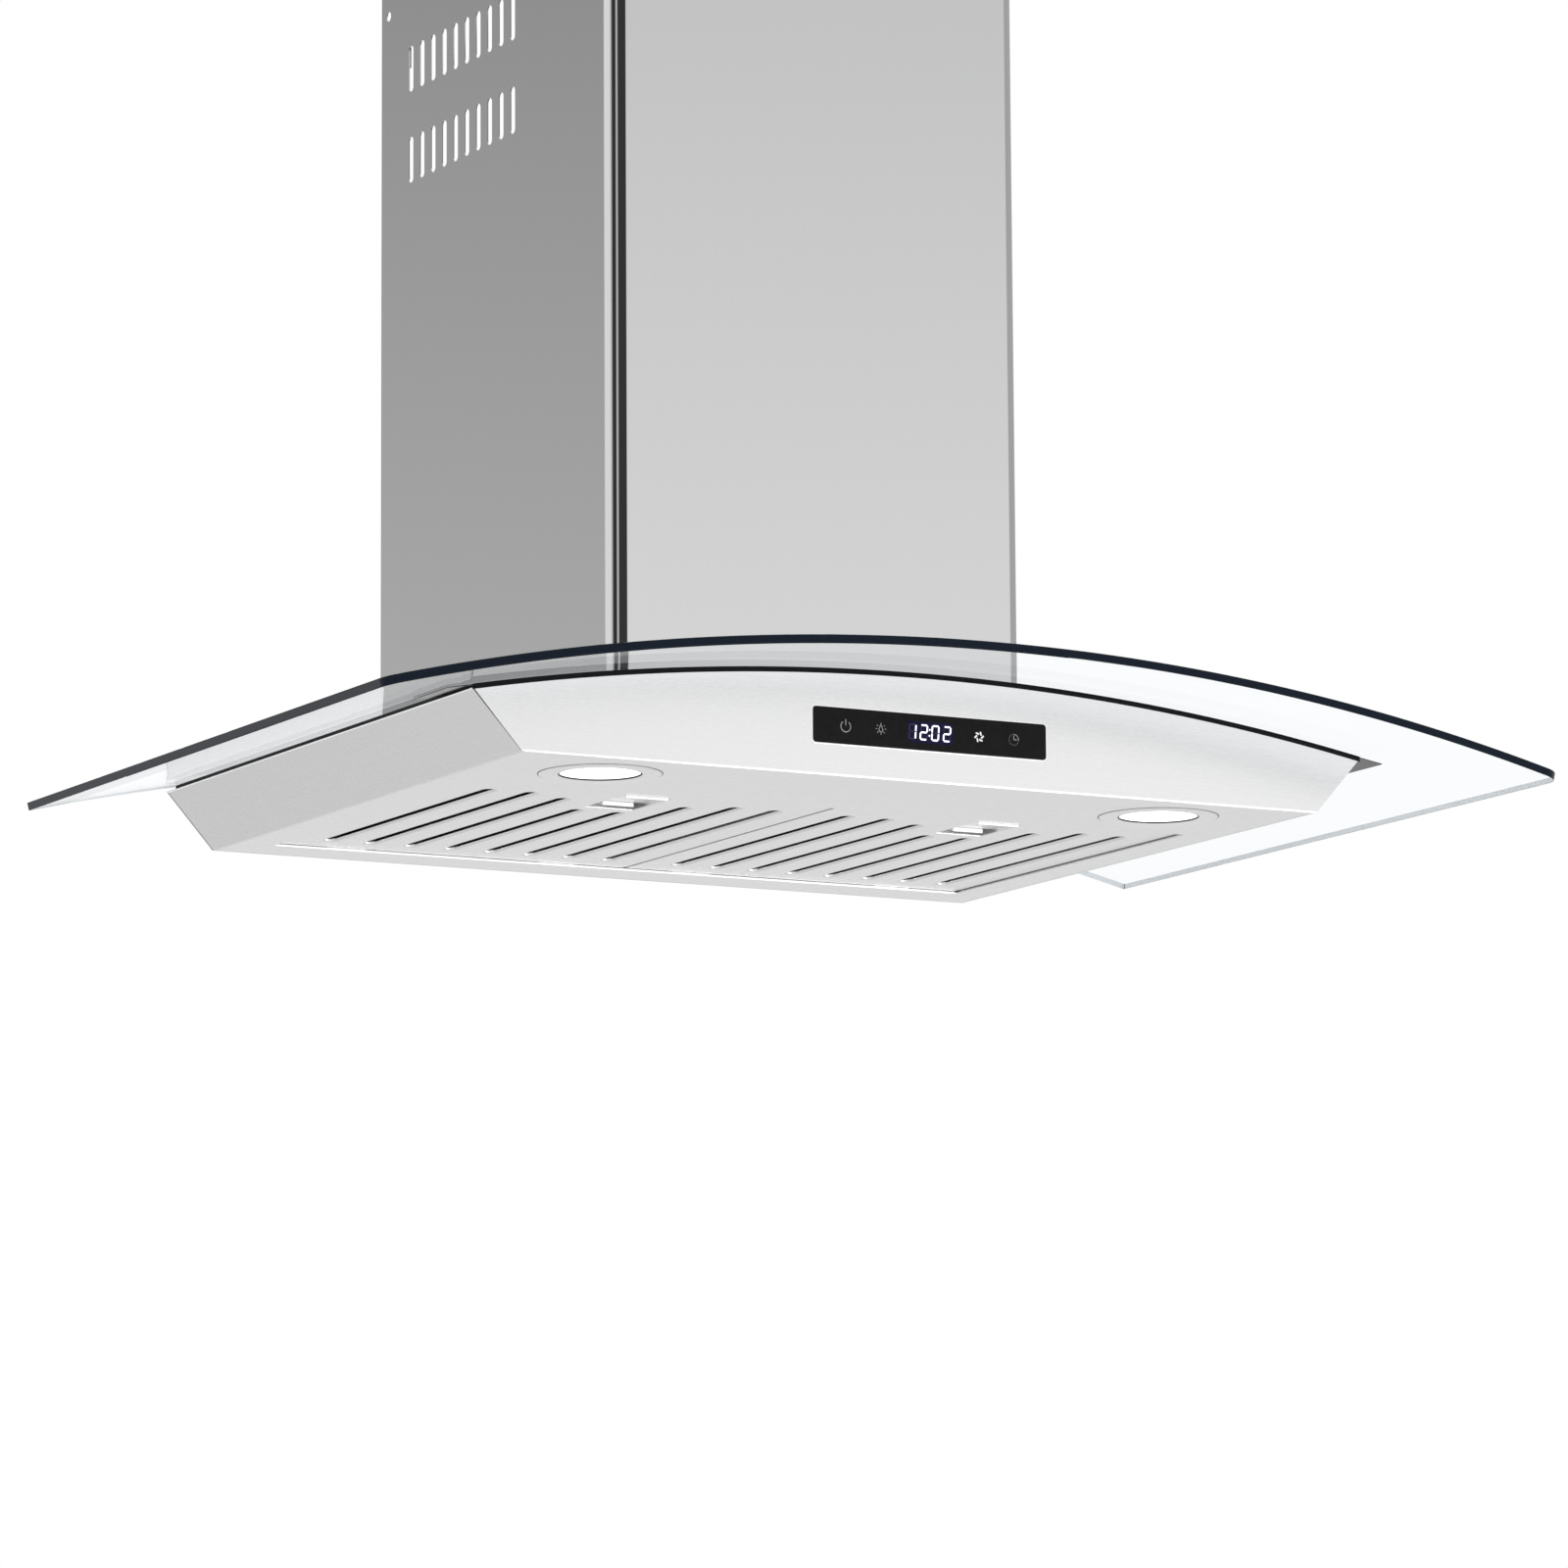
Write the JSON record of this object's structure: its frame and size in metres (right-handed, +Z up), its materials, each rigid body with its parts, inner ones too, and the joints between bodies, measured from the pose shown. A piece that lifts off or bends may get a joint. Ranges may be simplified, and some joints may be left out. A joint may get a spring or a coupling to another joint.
{
  "type": "wall mount range hood",
  "caption": "Wall mount kitchen range hood with an arched glass canopy, a slim brushed steel body with slotted grease filters and lamps below, a touch panel and a telescopic chimney.",
  "frame": {"origin": "midway between the two wall screw holes, on the wall plane", "axes": "+X to the right seen from the front, +Y into the wall, +Z up"},
  "size_m": [0.75, 0.5205, 0.5406],
  "materials": {
    "brushed_stainless": "fine brushed stainless sheet",
    "galvanised_sheet": "plain galvanised sheet",
    "canopy_glass": "clear tempered glass with polished dark edges",
    "black_trim": "matt black edge strip",
    "control_glass": "gloss black glass touch panel",
    "lamp_chrome": "polished lamp bezel",
    "lamp_lens": "frosted white diffuser",
    "lamp_casting": "plain die-cast lamp body",
    "black_plastic": "fine-grained black plastic",
    "grey_plastic": "moulded grey plastic",
    "motor_paint": "dark painted motor stack",
    "steel": "bright turned steel",
    "board_green": "green circuit board",
    "capacitor_white": "white capacitor can"
  },
  "bodies": {
    "hood": {"front_panel": "brushed_stainless", "side_panel_left": "brushed_stainless", "side_panel_right": "brushed_stainless", "bottom_pan": "brushed_stainless", "chimney_cover": "brushed_stainless", "back_panel": "galvanised_sheet", "top_plate": "galvanised_sheet", "wall_rail": "galvanised_sheet", "chimney_brackets": "galvanised_sheet", "blower_box": "galvanised_sheet", "scroll_wrap": "galvanised_sheet", "scroll_side_left": "galvanised_sheet", "scroll_side_right": "galvanised_sheet", "motor_spider": "galvanised_sheet", "glass_canopy": "canopy_glass", "edge_trim": "black_trim", "control_glass": "control_glass", "lamp_rings": "lamp_chrome", "lamp_lenses": "lamp_lens", "lamp_bodies": "lamp_casting", "glass_corner_rests": "black_plastic", "control_box": "black_plastic", "terminal_box": "black_plastic", "cable_gland": "black_plastic", "outlet_collar": "black_plastic", "inlet_ring": "black_plastic", "motor": "motor_paint", "flap_pin": "steel", "rail_screws": "steel", "blower_box_screws": "steel", "control_board": "board_green", "capacitor": "capacitor_white"},
    "impeller": {"impeller": "grey_plastic", "motor_shaft": "steel"},
    "flap_front": {"flap_front": "grey_plastic"},
    "flap_back": {"flap_back": "grey_plastic"},
    "chimney_extension": {"chimney_extension": "brushed_stainless"},
    "filter_left": {"filter_left_frame": "brushed_stainless", "filter_left_face": "brushed_stainless", "filter_left_baffles": "galvanised_sheet", "filter_left_latch_pull": "brushed_stainless", "filter_left_latch_spring": "steel"},
    "latch_left": {"filter_left_latch_bolt": "brushed_stainless"},
    "filter_right": {"filter_right_frame": "brushed_stainless", "filter_right_face": "brushed_stainless", "filter_right_baffles": "galvanised_sheet", "filter_right_latch_pull": "brushed_stainless", "filter_right_latch_spring": "steel"},
    "latch_right": {"filter_right_latch_bolt": "brushed_stainless"}
  },
  "joints": [
    {"name": "impeller_spin", "type": "hinge", "parent": "hood", "child": "impeller", "pos_m": [0, -0.184, 0.164], "axis": [1, 0, 0], "continuous": true},
    {"name": "flap_front_lift", "type": "hinge", "parent": "hood", "child": "flap_front", "pos_m": [0, -0.11035, 0.329], "axis": [-1, 0, 0], "range_deg": [0, 75]},
    {"name": "flap_back_lift", "type": "hinge", "parent": "hood", "child": "flap_back", "pos_m": [0, -0.11035, 0.329], "axis": [1, 0, 0], "range_deg": [0, 75]},
    {"name": "chimney_extension_slide", "type": "slide", "parent": "hood", "child": "chimney_extension", "axis": [0, 0, 1], "range_m": [0, 0.4]},
    {"name": "filter_left_swing", "type": "hinge", "parent": "hood", "child": "filter_left", "pos_m": [-0.11575, -0.0585, -0.02], "axis": [1, 0, 0], "range_deg": [0, 70]},
    {"name": "latch_left_pull", "type": "slide", "parent": "filter_left", "child": "latch_left", "axis": [0, 1, 0], "range_m": [0, 0.007], "stiffness_N_per_m": 200, "springref_m": -0.005, "deforming": ["filter_left_latch_spring"]},
    {"name": "filter_right_swing", "type": "hinge", "parent": "hood", "child": "filter_right", "pos_m": [0.11575, -0.0585, -0.02], "axis": [1, 0, 0], "range_deg": [0, 70]},
    {"name": "latch_right_pull", "type": "slide", "parent": "filter_right", "child": "latch_right", "axis": [0, 1, 0], "range_m": [0, 0.007], "stiffness_N_per_m": 200, "springref_m": -0.005, "deforming": ["filter_right_latch_spring"]}
  ]
}
